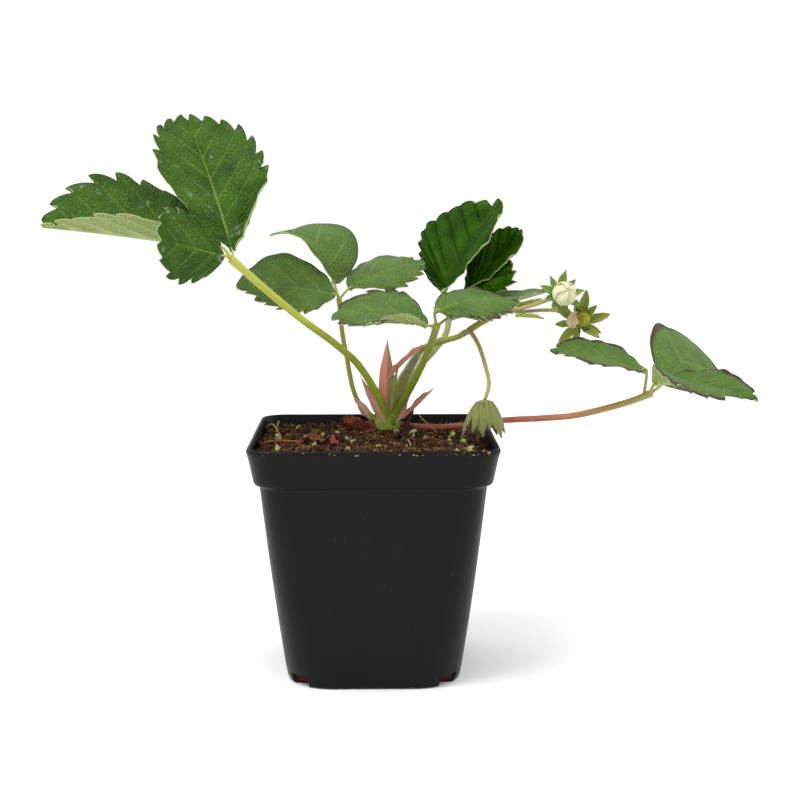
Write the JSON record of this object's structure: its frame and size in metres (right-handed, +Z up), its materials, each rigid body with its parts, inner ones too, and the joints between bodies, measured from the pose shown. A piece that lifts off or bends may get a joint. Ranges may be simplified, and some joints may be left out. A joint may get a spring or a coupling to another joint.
{
  "type": "potted strawberry plant",
  "caption": "Young strawberry plant with toothed three-part leaves, a flower truss and papery stipules, rooted in potting mix in a square tapered black nursery pot.",
  "frame": {"origin": "centre of the pot's base, on the surface it stands on", "axes": "+Z up, -Y towards the side of the pot that the picture faces, +X to that view's right, the plant's longest way"},
  "size_m": [0.2445, 0.1254, 0.2049],
  "materials": {
    "pot_plastic": "satin moulded black polypropylene",
    "potting_mix": "rough damp fibrous peat",
    "crown_tissue": "fleshy bright green stem",
    "petiole_green": "smooth lime green stalk with fine hairs",
    "petiole_red": "brownish red stalk turning green at the leaf",
    "truss_stalk": "hairy green flower stalk",
    "dry_matter": "dry rust brown plant litter",
    "leaf_blade": "deep green veined leaf with paler underside",
    "stipule_paper": "thin papery pink and tan",
    "sepal_green": "soft green with fine hairs",
    "petal_white": "soft creamy white petals",
    "receptacle": "yellow green, bumpy",
    "petal_dry": "dry tan petal",
    "fruit_young": "small dark unripe fruit",
    "granule": "pale yellow green angular mineral granule"
  },
  "bodies": {
    "root": {"pot": "pot_plastic", "soil": "potting_mix", "crown": "crown_tissue", "leaf1_petiole": "petiole_green", "leaf2_petiole": "petiole_green", "leaf3_petiole": "petiole_green", "leaf4_petiole": "petiole_green", "leaf5_petiole": "petiole_red", "peduncle": "truss_stalk", "pedicel_hanging": "truss_stalk", "pedicel_bud": "truss_stalk", "pedicel_spent": "truss_stalk", "dry_stem": "dry_matter", "dry_stalk_stub": "dry_matter", "dry_scrap_crown": "dry_matter", "dry_scrap_soil": "dry_matter", "dry_scrap_left": "dry_matter", "leaf1_leaflet_left": "leaf_blade", "leaf1_leaflet_middle": "leaf_blade", "leaf1_leaflet_right": "leaf_blade", "leaf2_leaflet_left": "leaf_blade", "leaf2_leaflet_middle": "leaf_blade", "leaf2_leaflet_right": "leaf_blade", "leaf3_leaflet_left": "leaf_blade", "leaf3_leaflet_middle": "leaf_blade", "leaf3_leaflet_right": "leaf_blade", "leaf4_leaflet_left": "leaf_blade", "leaf4_leaflet_middle": "leaf_blade", "leaf4_leaflet_right": "leaf_blade", "leaf5_leaflet_left": "leaf_blade", "leaf5_leaflet_middle": "leaf_blade", "leaf5_leaflet_right": "leaf_blade", "stipule_upright": "stipule_paper", "stipule_leaning": "stipule_paper", "stipule_spike": "stipule_paper", "stipule_right": "stipule_paper", "bract_upper": "sepal_green", "bract_lower": "sepal_green", "bud_calyx": "sepal_green", "spent_calyx": "sepal_green", "hanging_calyx": "sepal_green", "bud_petals": "petal_white", "spent_receptacle": "receptacle", "spent_petal": "petal_dry", "young_fruit": "fruit_young", "granule_1": "granule", "granule_2": "granule", "granule_3": "granule", "granule_4": "granule", "granule_5": "granule", "granule_6": "granule", "granule_7": "granule", "granule_8": "granule", "granule_9": "granule", "granule_10": "granule"}
  },
  "joints": []
}
